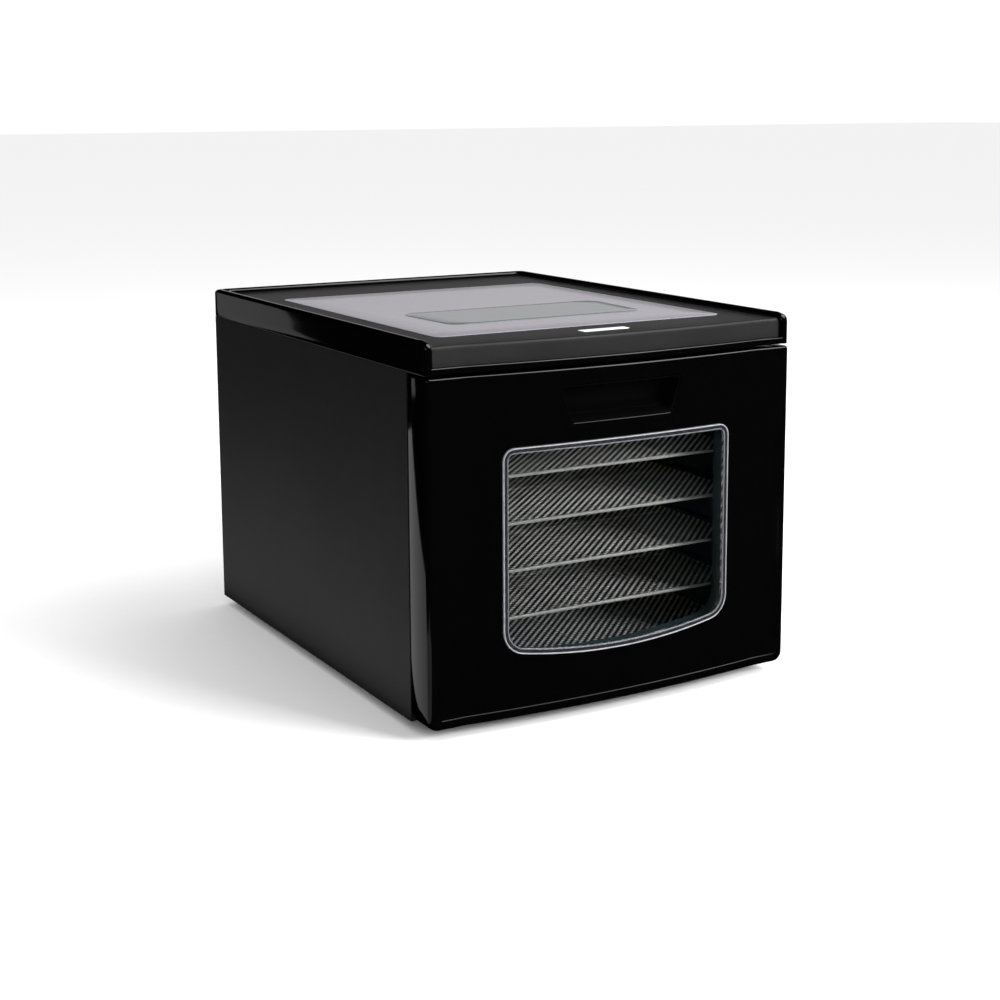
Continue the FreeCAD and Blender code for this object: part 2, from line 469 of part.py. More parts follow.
pins = [Part.makeCylinder(PIN_R, 15.0, V(s * 150.5 - 7.5, AXIS_Y, AXIS_Z), V(1, 0, 0)) for s in (-1, 1)]
parts["hinge_pins"] = Part.makeCompound(pins)

# ---- trays: rod frame with a turned-up round front rod, cross bars under a woven mesh
for n, z in enumerate(TRAY_Z, 1):
    y0, y1 = TRAY_Y
    c = [(-TRAY_X, y0, z), (TRAY_X, y0, z), (TRAY_X, y1, z), (-TRAY_X, y1, z)]
    bars = [rod(c[i], c[(i + 1) % 4], ROD_R) for i in range(4)]
    bars += [Part.makeSphere(ROD_R, V(*p)) for p in c]
    bars += [rod((x, y0, z - 0.3), (x, y1, z - 0.3), 1.0) for x in (-76.0, 0.0, 76.0)]
    bars += [rod((-TRAY_X, y, z - 0.3), (TRAY_X, y, z - 0.3), 1.0) for y in (-75.0, 32.0)]
    frame = fuse(bars)
    parts["tray_%d_frame" % n] = frame
    mesh = box(-TRAY_X + 1.4, TRAY_X - 1.4, y0 + 1.4, y1 - 1.4, z + 0.75, z + 1.35)
    parts["tray_%d_mesh" % n] = mesh.cut(frame)

os.makedirs("parts", exist_ok=True)
for name, shape in parts.items():
    shape.exportStep("parts/%s.step" % name)
    print(name, len(shape.Solids), round(shape.Volume), shape.isValid())
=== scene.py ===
"""Food dehydrator with a bowed drop-down door, woven wire trays and a touch panel on top.

Shapes are worked out in millimetres, X across, Y to the back and Z up, and build() turns them into metres.
"""
import json
import math

import bmesh
import bpy
import numpy as np
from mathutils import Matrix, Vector


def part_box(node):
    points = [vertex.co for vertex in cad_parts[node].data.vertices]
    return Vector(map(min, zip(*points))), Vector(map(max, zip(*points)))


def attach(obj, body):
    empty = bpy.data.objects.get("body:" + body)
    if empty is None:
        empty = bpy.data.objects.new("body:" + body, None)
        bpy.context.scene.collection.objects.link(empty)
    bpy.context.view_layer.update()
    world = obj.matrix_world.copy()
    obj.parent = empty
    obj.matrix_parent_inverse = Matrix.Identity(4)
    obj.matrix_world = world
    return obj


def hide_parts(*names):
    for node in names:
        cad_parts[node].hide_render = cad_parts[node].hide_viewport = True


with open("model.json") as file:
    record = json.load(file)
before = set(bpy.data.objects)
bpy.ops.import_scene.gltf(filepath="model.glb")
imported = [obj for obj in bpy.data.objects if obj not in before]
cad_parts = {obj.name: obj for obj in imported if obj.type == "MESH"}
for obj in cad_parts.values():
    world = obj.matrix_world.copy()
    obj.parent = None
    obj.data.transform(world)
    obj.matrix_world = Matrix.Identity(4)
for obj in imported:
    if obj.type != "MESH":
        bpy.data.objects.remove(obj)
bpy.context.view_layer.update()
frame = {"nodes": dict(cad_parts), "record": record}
MM = 0.001


def span(node):
    """Lowest and highest corner of a CAD node, in millimetres."""
    low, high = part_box(node)
    return np.array(low) / MM, np.array(high) / MM


# ---- sizes shared by several pieces
door_low, door_high = span("door_shell")
cover_low, cover_high = span("top_cover")
deck_low, deck_high = span("top_deck")
HALF = float(door_high[0])
FLAT_Y = -216.0
BOW = 8.2
BOW_HALF = 140.0
DOOR_Z = (float(door_low[2]), float(door_high[2]))
DOOR_BACK = float(door_high[1])
WALL = 2.5
BORDER = 0.7
SKIN_BACK = 3.0
CORE_INSET = 8.0
AXIS = (-208.0, 24.0)
SWEEP_R = 22.6
SILL_X = 155.5
SILL_Y = -197.0
ARM_X = (148.0, 153.0)
SPLIT_Z = 233.5
LEDGE_Z = float(deck_low[2])
DECK_Z = float(deck_high[2])
RIM_W = 8.0
WINDOW = {"half": 108.0, "top": 226.0, "low": 52.7, "arc": 555.0, "r_top": 10.0, "r_low": 20.0}
POCKET = ((-48.0, 241.0, 5.0), (48.0, 241.0, 5.0), (58.0, 271.0, 2.5), (-58.0, 271.0, 2.5))
CORNER_STEPS = 7
SLIT = 0.6
MESH_PITCH = 3.7
TRAYS = 6


# ---- shader maths
class Socket:
    """A shader socket that takes part in sums; every operator adds one Math node."""

    def __init__(self, shader, link):
        self.shader = shader
        self.link = link

    def maths(self, kind, other=0.0, third=0.0, swap=False):
        """Any Math node on this socket, with the operands exchanged where swap is set."""
        a, b = (other, self) if swap else (self, other)
        return self.shader.node("ShaderNodeMath", {"operation": kind}, {0: a, 1: b, 2: third})

    def __add__(self, other):
        return self.maths("ADD", other)

    def __sub__(self, other):
        return self.maths("SUBTRACT", other)

    def __mul__(self, other):
        return self.maths("MULTIPLY", other)

    def __truediv__(self, other):
        return self.maths("DIVIDE", other)

    def __rsub__(self, other):
        return self.maths("SUBTRACT", other, swap=True)

    __radd__ = __add__
    __rmul__ = __mul__

    def over(self, low, high):
        """0 below low, 1 above high, straight between."""
        settings = {"clamp": True}
        return self.shader.node("ShaderNodeMapRange", settings, {0: self, 1: low, 2: high, 3: 0.0, 4: 1.0})


class Shader:
    """One material under construction."""

    def __init__(self, name, **fixed):
        self.material = bpy.data.materials.new(name)
        self.material.use_nodes = True
        self.tree = self.material.node_tree
        self.main = self.tree.nodes["Principled BSDF"]
        self.end = self.tree.nodes["Material Output"]
        for key, value in fixed.items():
            self.main.inputs[key.replace("_", " ")].default_value = value

    def node(self, kind, settings, values, out=0):
        """Adds a node of that kind, sets its settings, feeds its sockets, and gives one output."""
        made = self.tree.nodes.new(kind)
        for key, value in settings.items():
            if key == "stops":
                self.stops(made.color_ramp, value)
            else:
                setattr(made, key, value)
        for key, value in values.items():
            if isinstance(value, Socket):
                self.tree.links.new(value.link, made.inputs[key])
            elif value is not None:
                made.inputs[key].default_value = value
        return Socket(self, made.outputs[out])

    def stops(self, ramp, stops):
        """Replaces a ramp's stops by pairs of place and colour."""
        while len(ramp.elements) > 1:
            ramp.elements.remove(ramp.elements[-1])
        ramp.elements[0].position, ramp.elements[0].color = stops[0]
        for place, colour in stops[1:]:
            ramp.elements.new(place).color = colour

    def place(self, kind="Object"):
        """Coordinates that the pattern is read at."""
        return self.node("ShaderNodeTexCoord", {}, {}, out=kind)

    def noise(self, scale, detail=2.0, rough=0.5, where=None, stretch=None):
        where = where or self.place()
        if stretch:
            where = self.node("ShaderNodeMapping", {}, {"Vector": where, "Scale": stretch})
        values = {"Vector": where, "Scale": scale, "Detail": detail, "Roughness": rough}
        return self.node("ShaderNodeTexNoise", {}, values)

    def tint(self, factor, low, high):
        """Colour between low and high by factor."""
        ramp = [(0.0, (*low, 1.0)), (1.0, (*high, 1.0))]
        return self.node("ShaderNodeValToRGB", {"stops": ramp}, {0: factor})

    def bump(self, height, strength, distance, base=None):
        """Normal tilted by the slope of height."""
        values = {"Height": height, "Strength": strength, "Distance": distance, "Normal": base}
        return self.node("ShaderNodeBump", {}, values)

    def feed(self, **links):
        """Links sockets to the surface shader's inputs."""
        for key, value in links.items():
            self.tree.links.new(value.link, self.main.inputs[key.replace("_", " ")])
        return self


def gloss_black():
    """Injection moulded black plastic with a mirror polish, faint flow ripple and a little dust."""
    s = Shader("gloss_black", Specular_IOR_Level=0.4)
    ripple = s.noise(26.0, 2.0)
    dust = s.noise(700.0, 3.0, 0.7).over(0.62, 0.80)
    s.feed(Base_Color=s.tint(dust, (0.0006, 0.0006, 0.0007), (0.003, 0.003, 0.0033)))
    s.feed(Roughness=dust * 0.10 + s.noise(9.0).over(0.3, 0.7) * 0.02 + 0.045)
    s.feed(Normal=s.bump(ripple, 0.02, 0.002))
    return s.material


def powder_coat():
    """Sheet steel under a fine wrinkled black powder coat."""
    s = Shader("powder_coat", Specular_IOR_Level=0.42)
    grain = s.noise(1500.0, 3.0, 0.65)
    lumps = s.noise(420.0, 2.0)
    drift = s.noise(7.0, 2.0).over(0.25, 0.75)
    s.feed(Base_Color=s.tint(grain.over(0.35, 0.7), (0.0035, 0.0035, 0.0036), (0.0105, 0.0105, 0.0107)))
    s.feed(Roughness=drift * 0.05 + grain * 0.16 + 0.42)
    s.feed(Normal=s.bump(grain * 0.7 + lumps * 0.5, 0.55, 0.0003))
    return s.material


def satin_plastic(name, low, high, rough, level=0.5):
    """Moulded plastic with a fine spark-eroded grain."""
    s = Shader(name, Specular_IOR_Level=level)
    grain = s.noise(1900.0, 2.0, 0.6)
    drift = s.noise(11.0, 2.0).over(0.3, 0.7)
    s.feed(Base_Color=s.tint(grain.over(0.3, 0.7) * 0.7 + drift * 0.3, low, high))
    s.feed(Roughness=grain * 0.10 + drift * 0.04 + rough)
    s.feed(Normal=s.bump(grain, 0.25, 0.0002))
    return s.material


def printed_sheet(name, low, high, rough, coat):
    """Back-printed plastic sheet: even colour, faint streaks and light fingerprints in the gloss."""
    s = Shader(name, Specular_IOR_Level=0.5, Coat_Weight=coat, Coat_Roughness=0.12)
    streak = s.noise(30.0, 2.0, stretch=(1.0, 9.0, 1.0))
    touch = s.noise(55.0, 4.0, 0.7).over(0.5, 0.75)
    s.feed(Base_Color=s.tint(streak.over(0.25, 0.75), low, high))
    s.feed(Roughness=touch * 0.02 + streak * 0.03 + rough)
    return s.material


def metal(name, low, high, rough, scale=300.0, stretch=(1.0, 1.0, 1.0), metallic=1.0, bump=0.08):
    """Bare metal with fine directional marks and uneven polish."""
    s = Shader(name, Metallic=metallic)
    marks = s.noise(scale, 3.0, 0.6, stretch=stretch)
    patch = s.noise(14.0, 2.0).over(0.3, 0.7)
    s.feed(Base_Color=s.tint(marks.over(0.3, 0.7) * 0.7 + patch * 0.3, low, high))
    s.feed(Roughness=marks * 0.14 + patch * 0.06 + rough)
    if bump:
        s.feed(Normal=s.bump(marks, bump, 0.0002))
    return s.material


def woven_wire_painted_glints(pitch=MESH_PITCH):
    """Wire with painted highlights where one set of wires crests over the other: base colour bright by the product of
    two cosines of pitch, dark between, standing in for knuckle glints.
    """
    s = Shader("woven_wire_painted_glints", Metallic=0.2, Specular_IOR_Level=0.5)
    crest = 1.0
    low, high = span("tray_1_mesh")
    for axis, name in ((0, "X"), (1, "Y")):
        count = int((high[axis] - low[axis] - 1) / pitch)
        start = float(low[axis] + high[axis]) / 2 - count / 2 * pitch
        along = s.node("ShaderNodeSeparateXYZ", {}, {0: s.place()}, out=name)
        crest = ((along - start * MM) * (math.pi / (pitch * MM))).maths("COSINE") * crest
    marks = s.noise(60.0, 2.0).over(0.3, 0.7)
    # painted highlight on the crests and painted shade in the troughs: the base colour runs from near black to pale by
    # the crest pattern
    s.feed(Base_Color=s.tint(crest.over(-0.1, 0.6) * (marks * 0.3 + 0.7), (0.050, 0.045, 0.056), (0.93, 0.87, 0.82)))
    s.feed(Roughness=marks * 0.1 + 0.3)
    return s.material


def see_through(s, tint, share):
    """Mixes the surface with plain transmission; share is how much of the surface shows."""
    through = s.tree.nodes.new("ShaderNodeBsdfTransparent")
    through.inputs["Color"].default_value = (*tint, 1.0)
    mix = s.tree.nodes.new("ShaderNodeMixShader")
    s.tree.links.new(share.link, mix.inputs[0])
    s.tree.links.new(through.outputs[0], mix.inputs[1])
    s.tree.links.new(s.main.outputs[0], mix.inputs[2])
    s.tree.links.new(mix.outputs[0], s.end.inputs[0])
    return s.material


def clear_moulding():
    """Clear acrylic: nearly all light passes, the rest is a sharp surface reflection with faint scuffs."""
    s = Shader("clear_moulding", Metallic=1.0)
    scuff = s.noise(60.0, 4.0, 0.7).over(0.55, 0.8)
    s.feed(Base_Color=s.tint(scuff, (0.85, 0.88, 0.88), (0.95, 0.95, 0.95)))
    s.feed(Roughness=scuff * 0.10 + 0.035)
    s.feed(Normal=s.bump(s.noise(18.0, 2.0), 0.03, 0.002))
    facing = s.node("ShaderNodeLayerWeight", {}, {"Blend": 0.30}, out="Fresnel")
    return see_through(s, (0.93, 0.95, 0.95), facing * 0.8 + scuff * 0.01)


def acrylic_edge(name, low, high, share):
    """Thick edge of the acrylic with painted light: a base colour paler and greyer than the pane, standing in for
    light trapped inside that comes out at the edge.
    """
    s = Shader(name, Specular_IOR_Level=0.8)
    cloud = s.noise(160.0, 3.0, 0.6)
    s.feed(Base_Color=s.tint(cloud.over(0.3, 0.7), low, high))
    s.feed(Roughness=cloud * 0.06 + 0.07, Normal=s.bump(cloud, 0.03, 0.0003))
    facing = s.node("ShaderNodeLayerWeight", {}, {"Blend": 0.35}, out="Fresnel")
    return see_through(s, (0.72, 0.76, 0.80), facing * (0.95 - share) + share)


def board_lacquer():
    """Green solder lacquer over copper tracks."""
    s = Shader("board_lacquer", Specular_IOR_Level=0.5)
    tracks = s.node("ShaderNodeTexBrick", {}, {"Vector": s.place(), "Scale": 90.0, "Mortar Size": 0.03}, out=1)
    s.feed(Base_Color=s.tint(tracks, (0.008, 0.05, 0.018), (0.02, 0.12, 0.04)))
    s.feed(Roughness=tracks * 0.1 + 0.3, Normal=s.bump(tracks, 0.2, 0.0002))
    return s.material


def pale_floor():
    """Plain matt studio paper."""
    s = Shader("studio_paper", Specular_IOR_Level=0.0)
    fibre = s.noise(90.0, 3.0)
    s.feed(Base_Color=s.tint(fibre, (0.86, 0.86, 0.86), (0.89, 0.89, 0.89)))
    s.feed(Roughness=fibre * 0.05 + 0.9)
    return s.material


FINISH = {
    "gloss_black": gloss_black(),
    "powder_black": powder_coat(),
    "satin_dark": satin_plastic("satin_dark", (0.008, 0.008, 0.0084), (0.017, 0.017, 0.0176), 0.33, 0.20),
    "inlay_grey": printed_sheet("inlay_grey", (0.222, 0.212, 0.236), (0.246, 0.236, 0.261), 0.18, 0.12),
    "panel_light": printed_sheet("panel_light", (0.115, 0.130, 0.137), (0.140, 0.155, 0.162), 0.12, 0.45),
    "badge_pale": satin_plastic("badge_pale", (0.62, 0.62, 0.62), (0.72, 0.72, 0.72), 0.34),
    "clear": clear_moulding(),
    "rubber_black": satin_plastic("rubber_black", (0.010, 0.010, 0.010), (0.020, 0.020, 0.020), 0.62, 0.3),
    "steel_wire": metal("steel_wire", (0.46, 0.43, 0.41), (0.66, 0.62, 0.59), 0.16, 900.0, metallic=0.5),
    "steel_plate": metal("steel_plate", (0.30, 0.30, 0.31), (0.46, 0.46, 0.47), 0.30, 260.0, (1.0, 0.06, 1.0)),
    "dark_liner": satin_plastic("dark_liner", (0.034, 0.055, 0.063), (0.046, 0.072, 0.081), 0.46, 0.3),
    "board_green": board_lacquer(),
    "white_part": satin_plastic("white_part", (0.52, 0.50, 0.46), (0.62, 0.60, 0.56), 0.4),
    "zinc": metal("zinc", (0.42, 0.42, 0.40), (0.60, 0.60, 0.58), 0.26, 700.0),
    "magnet": metal("magnet", (0.05, 0.05, 0.055), (0.10, 0.10, 0.11), 0.42, 1200.0, metallic=0.6),
    "heater": metal("heater", (0.13, 0.09, 0.07), (0.24, 0.18, 0.14), 0.42, 120.0, metallic=0.8),
    "wire_red": satin_plastic("wire_red", (0.30, 0.02, 0.015), (0.42, 0.035, 0.025), 0.36),
}


MESH_WIRE = woven_wire_painted_glints()
CUP = satin_plastic("cup_plastic", (0.0008, 0.0008, 0.0009), (0.0018, 0.0018, 0.0019), 0.6, 0.01)
# painted light: the bead's outer roll and inner roll get pale base colours in place of the light that shines out of
# the acrylic's edge
PAINTED_LIGHT_EDGE = acrylic_edge("painted_light_edge", (0.25, 0.25, 0.27), (0.36, 0.36, 0.38), 0.78)
CHANNEL = acrylic_edge("bead_channel", (0.016, 0.016, 0.021), (0.026, 0.026, 0.033), 0.55)
LIT = acrylic_edge("lit_edge", (0.12, 0.125, 0.135), (0.19, 0.195, 0.21), 0.60)


# ---- making meshes
def sheet(points, around=False, shut=False):
    """Quads over a grid of points (rows, columns, 3). around joins the last column to the first, shut the rows."""
    rows, cols = points.shape[:2]
    i = np.arange(rows if shut else rows - 1)[:, None]
    j = np.arange(cols if around else cols - 1)[None, :]
    i2 = (i + 1) % rows
    j2 = (j + 1) % cols
    quads = np.stack([i * cols + j, i * cols + j2, i2 * cols + j2, i2 * cols + j], -1)
    return points.reshape(-1, 3), quads.reshape(-1, 4)


def build(name, sheets, body, slot, finish=None, swaps=(), sharp=38.0, fill=False, merge=True):
    """One object from several sheets of quads: merges shared points, turns the faces outwards, shades it smooth."""
    points, quads, start = [], [], 0
    for co, faces in sheets:
        points.append(co)
        quads.append(faces + start)
        start += len(co)
    points = np.concatenate(points) * MM
    quads = np.concatenate(quads)
    mesh = bpy.data.meshes.new(name)
    mesh.vertices.add(len(points))
    mesh.vertices.foreach_set("co", points.astype(np.float32).ravel())
    mesh.loops.add(quads.size)
    mesh.loops.foreach_set("vertex_index", quads.astype(np.int32).ravel())
    mesh.polygons.add(len(quads))
    mesh.polygons.foreach_set("loop_start", np.arange(0, quads.size, 4, dtype=np.int32))
    mesh.update(calc_edges=True)
    if merge:
        bm = bmesh.new()
        bm.from_mesh(mesh)
        bmesh.ops.remove_doubles(bm, verts=bm.verts, dist=2e-6)
        if fill:
            edges = [e for e in bm.edges if e.is_boundary]
            bmesh.ops.holes_fill(bm, edges=edges, sides=0)
        bmesh.ops.recalc_face_normals(bm, faces=bm.faces)
        bm.to_mesh(mesh)
        bm.free()
    mesh.validate()
    mesh.shade_smooth()
    mesh.set_sharp_from_angle(angle=math.radians(sharp))
    mesh.materials.append(finish or FINISH[slot])
    made = bpy.data.objects.new(name, mesh)
    bpy.context.scene.collection.objects.link(made)
    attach(made, body)
    if swaps:
        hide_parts(*swaps)
    return made


def marked(a, b, marks, counts):
    """Numbers between a and b, both left out, through every mark; counts gives the steps of each stretch."""
    stops = [a, *marks, b]
    runs = [np.linspace(p, q, n + 1)[1:] for p, q, n in zip(stops, stops[1:], counts)]
    return np.concatenate(runs)[:-1]


def quarter(x, z, r, start, steps=CORNER_STEPS):
    """Quarter circle about (x, z), anticlockwise from the start angle in degrees."""
    a = np.radians(np.linspace(start, start + 90.0, steps))
    return np.stack([x + r * np.cos(a), z + r * np.sin(a)], -1)


def loop_of(corners, inset=0.0, sides=(24, 12)):
    """Rounded outline through (u, v, radius) corners, anticlockwise, each side moved inwards by inset."""
    p = np.array([c[:2] for c in corners], float)
    r = np.maximum(np.array([c[2] for c in corners], float) - inset, 0.15)
    nxt = np.roll(p, -1, 0)
    d = (nxt - p) / np.linalg.norm(nxt - p, axis=1)[:, None]
    inward = np.stack([-d[:, 1], d[:, 0]], -1)
    before = np.roll(d, 1, 0)
    lean = np.roll(inward, 1, 0) + inward
    p = p + inset * lean / (0.5 * (lean ** 2).sum(1))[:, None]
    half_turn = np.arctan2(before[:, 0] * d[:, 1] - before[:, 1] * d[:, 0], (before * d).sum(1)) / 2
    reach = r * np.tan(half_turn)
    rows = []
    for i in range(len(p)):
        j = (i + 1) % len(p)
        t = np.linspace(0, 1, sides[i % 2] + 1)[1:-1, None]
        rows.append((p[i] + d[i] * reach[i]) * (1 - t) + (p[j] - d[i] * reach[j]) * t)
        centre = p[j] - d[i] * reach[j] + inward[i] * r[j]
        a0 = math.atan2(-inward[i][1], -inward[i][0])
        a = np.linspace(a0, a0 + 2 * half_turn[j], CORNER_STEPS)
        rows.append(np.stack([centre[0] + r[j] * np.cos(a), centre[1] + r[j] * np.sin(a)], -1))
    return np.concatenate(rows)


def bow(x):
    """How far the front swells forward at x: a circular arc over the middle, nothing at the sides."""
    r = (BOW_HALF ** 2 + BOW ** 2) / (2 * BOW)
    return np.sqrt(r * r - np.minimum(np.abs(x), BOW_HALF) ** 2) - (r - BOW)


def on_front(loop, depth):
    """Places a front view loop (x, z) on the bowed front, depth behind its surface."""
    return np.stack([loop[:, 0], FLAT_Y + depth - bow(loop[:, 0]), loop[:, 1]], -1)


def blend_rows(first, last, depth, count):
    """Loops in even steps from one front view loop to another, ends left out, all at one depth."""
    return [on_front(first * (1 - t) + last * t, depth) for t in np.linspace(0, 1, count + 2)[1:-1]]


def eased(radius, steps=5):
    """(inset, drop) pairs of a quarter round, from the wall (0, radius) to the face (radius, 0)."""
    a = np.radians(np.linspace(0, 90, steps))
    return [(radius * (1 - math.cos(t)), radius * (1 - math.sin(t))) for t in a]


# ---- door
X_MARKS = [-SILL_X - 0.05, -SILL_X + 0.05, -ARM_X[1] - SLIT - 0.05, -ARM_X[1] - SLIT + 0.05]
X_MARKS += [-ARM_X[0] + SLIT - 0.05, -ARM_X[0] + SLIT + 0.05, -BOW_HALF]
X_MARKS = X_MARKS + [-x for x in reversed(X_MARKS)]
X_COUNTS = [4, 1, 1, 1, 2, 1, 2, 64, 2, 1, 2, 1, 1, 1, 4]
Z_COUNTS = [34, 8]


def door_loop(x, z0, z1, r0, r1, z_marks=(), z_counts=(42,)):
    """Rounded rectangle seen from the front, anticlockwise from its lower left, sampled through the marks."""
    across = marked(-x + r0, x - r0, X_MARKS, X_COUNTS)
    over = marked(-x + r1, x - r1, X_MARKS, X_COUNTS)[::-1]
    up = marked(z0 + r0, z1 - r1, list(z_marks), list(z_counts))
    low = np.stack([across, np.full_like(across, z0)], -1)
    right = np.stack([np.full_like(up, x), up], -1)
    top = np.stack([over, np.full_like(over, z1)], -1)
    left = np.stack([np.full_like(up, -x), up[::-1]], -1)
    corners = [quarter(x - r0, z0 + r0, r0, -90), quarter(x - r1, z1 - r1, r1, 0)]
    corners += [quarter(-x + r1, z1 - r1, r1, 90), quarter(-x + r0, z0 + r0, r0, 180)]
    return np.concatenate([low, corners[0], right, corners[1], top, corners[2], left, corners[3]])


def door_ring(inset):
    """The door's outline drawn in by inset; the top border is a little narrower than the others."""
    t = inset / CORE_INSET
    low, high = DOOR_Z[0] + inset, DOOR_Z[1] - 0.75 * inset
    return door_loop(HALF - inset, low, high, 8.5 - 4.5 * t, 2.5 + 1.5 * t, (SPLIT_Z,), Z_COUNTS)


def window_loop(inset, across, up):
    """Window outline drawn in by inset: sagging bottom arc, straight sides and top; across and up are shares."""
    w = WINDOW["half"] - inset
    top = WINDOW["top"] - inset
    rt = WINDOW["r_top"] - inset
    rb = WINDOW["r_low"] - inset
    arc = WINDOW["arc"] - inset
    centre_z = WINDOW["low"] + WINDOW["arc"]
    turn = math.asin((w - rb) / (arc - rb))
    corner_z = centre_z - (arc - rb) * math.cos(turn)
    a = (2 * across - 1) * turn
    low = np.stack([arc * np.sin(a), centre_z - arc * np.cos(a)], -1)
    c = np.linspace(turn - math.pi / 2, 0, CORNER_STEPS)
    right_low = np.stack([w - rb + rb * np.cos(c), corner_z + rb * np.sin(c)], -1)
    z = corner_z + (top - rt - corner_z) * up
    right = np.stack([np.full_like(z, w), z], -1)
    x = (w - rt) * (2 * across - 1)
    head = np.stack([x[::-1], np.full_like(x, top)], -1)
    mirror = np.array([-1.0, 1.0])
    rows = [low, right_low, right, quarter(w - rt, top - rt, rt, 0), head]
    rows += [quarter(-w + rt, top - rt, rt, 90), right[::-1] * mirror, right_low[::-1] * mirror]
    return np.concatenate(rows)


def shares(values, a, b):
    """How far each value lies on the way from a to b."""
    return (values - a) / (b - a)


def door_rear(loop):
    """Rear edge of the door's side walls: straight, rounded about the hinge below it, cut away for the arms."""
    x, z = loop[:, 0], loop[:, 1]
    reach = np.sqrt(np.maximum(SWEEP_R ** 2 - (z - AXIS[1]) ** 2, 0.0))
    swept = np.minimum(DOOR_BACK, AXIS[0] + reach)
    y = np.where(z < AXIS[1] - 7.0, swept, DOOR_BACK)
    low = z < DOOR_Z[0] + WALL + 0.6
    y = np.where(low & (np.abs(x) < SILL_X), SILL_Y, y)
    notch = (np.abs(x) > ARM_X[0] - SLIT) & (np.abs(x) < ARM_X[1] + SLIT) & low
    return np.where(notch, FLAT_Y + 3.2, y)


def door_shell():
    """Front skin as two rings of quads, one round the window and one round the finger pocket, then the border
    step, the rounded outer edge, the side walls to the rear and the inside of the shell back to the skin."""
    core_x, core_low = HALF - CORE_INSET, DOOR_Z[0] + CORE_INSET
    core_top = DOOR_Z[1] - 0.75 * CORE_INSET
    lower = door_loop(core_x, core_low, SPLIT_Z, 4.0, 0.0, (), Z_COUNTS[:1])
    upper = door_loop(core_x, SPLIT_Z, core_top, 0.0, 4.0, (), Z_COUNTS[1:])
    across = shares(marked(-core_x + 4.0, core_x - 4.0, X_MARKS, X_COUNTS), -core_x + 4.0, core_x - 4.0)
    up = np.linspace(0, 1, Z_COUNTS[0] + 1)[1:-1]

    def pane_hole(inset):
        return window_loop(inset, across, up)

    def pocket_hole(inset):
        return loop_of(POCKET, inset, (len(across) + 1, Z_COUNTS[1]))

    sheets = []
    for region, hole in ((lower, pane_hole), (upper, pocket_hole)):
        rows = [on_front(region, 0.0)]
        rows += blend_rows(region, hole(-1.0), 0.0, 10)
        rows += [on_front(hole(-inset), drop) for inset, drop in reversed(eased(1.0, 5))]
        rows += [on_front(hole(0.0), SKIN_BACK)]
        rows += blend_rows(hole(0.0), region, SKIN_BACK, 5) + [on_front(region, SKIN_BACK)]
        sheets.append(sheet(np.array(rows), around=True))
    outer = 3.6
    kerb = [(0.0, 0.0), (0.06, 0.02), (0.12, 0.1), (0.18, 0.42), (0.32, 0.6), (0.6, 0.68), (1.0, BORDER)]
    rows = [on_front(door_ring(CORE_INSET - run), -rise) for run, rise in kerb]
    rows += [on_front(door_ring(inset), drop - BORDER) for inset, drop in reversed(eased(outer, 8))]
    for inset, ahead in ((0.0, 0.9), (0.25, 0.25), (0.9, 0.0), (WALL - 0.3, 0.0), (WALL, 0.3)):
        ring = door_ring(inset)
        rear = np.maximum(door_rear(ring) - ahead, FLAT_Y + SKIN_BACK)
        rows.append(np.stack([ring[:, 0], rear, ring[:, 1]], -1))
    rows.append(on_front(door_ring(WALL), SKIN_BACK + 0.1))
    rows.append(on_front(door_ring(CORE_INSET - 2.0), SKIN_BACK + 0.1))
    rows.append(on_front(door_ring(CORE_INSET), SKIN_BACK))
    sheets.append(sheet(np.array(rows), around=True))
    return build("door_shell_moulded", sheets, "door", "gloss_black", swaps=["door_shell"], sharp=30)


def hinge_bosses():
    """Four U-shaped bosses inside the door that hold the hinge pins, each a slab with a round end."""
    a = np.radians(np.linspace(180, 0, 17))
    arch = np.stack([AXIS[0] + 5 * np.cos(a), AXIS[1] + 5 * np.sin(a)], -1)
    feet = np.array([[AXIS[0] + 5, DOOR_Z[0] + WALL - 0.4], [AXIS[0] - 5, DOOR_Z[0] + WALL - 0.4]])
    outline = np.concatenate([arch, feet])
    middle = outline.mean(0)
    sheets = []
    for s in (-1, 1):
        for low, high in ((ARM_X[0] - 5.0, ARM_X[0] - 0.4), (ARM_X[1] + 0.4, ARM_X[1] + 5.0)):
            rows = []
            for x, shrink in ((low, 0.0), (low, 0.93), (low + 0.4, 1.0), (high - 0.4, 1.0), (high, 0.93), (high, 0.0)):
                flat = middle + (outline - middle) * shrink
                rows.append(np.stack([np.full(len(flat), s * x), flat[:, 0], flat[:, 1]], -1))
            sheets.append(sheet(np.array(rows), around=True))
    return build("hinge_bosses", sheets, "door", "gloss_black")


WINDOW_ACROSS = np.linspace(0, 1, 58)[1:-1]
WINDOW_UP = np.linspace(0, 1, 36)[1:-1]
BEAD_INSET = 5.0


def window_ring(inset, depth):
    """Window outline drawn in by inset and set depth behind the door's face."""
    return on_front(window_loop(inset, WINDOW_ACROSS, WINDOW_UP), depth)


def window_pane():
    """Clear bowed pane: its outline drawn in towards the middle in even steps, front and back."""
    edge = window_loop(BEAD_INSET, WINDOW_ACROSS, WINDOW_UP)
    middle = np.array([0.0, (WINDOW["top"] + WINDOW["low"]) / 2])
    rows = []
    for depth, order in ((0.6, (0.0, 0.25, 0.5, 0.75, 1.0)), (2.6, (1.0, 0.75, 0.5, 0.25, 0.0))):
        rows += [on_front(middle + (edge - middle) * share, depth) for share in order]
    return build("window_pane", [sheet(np.array(rows), around=True)], "door", "clear",
                 swaps=["door_window"], sharp=60)


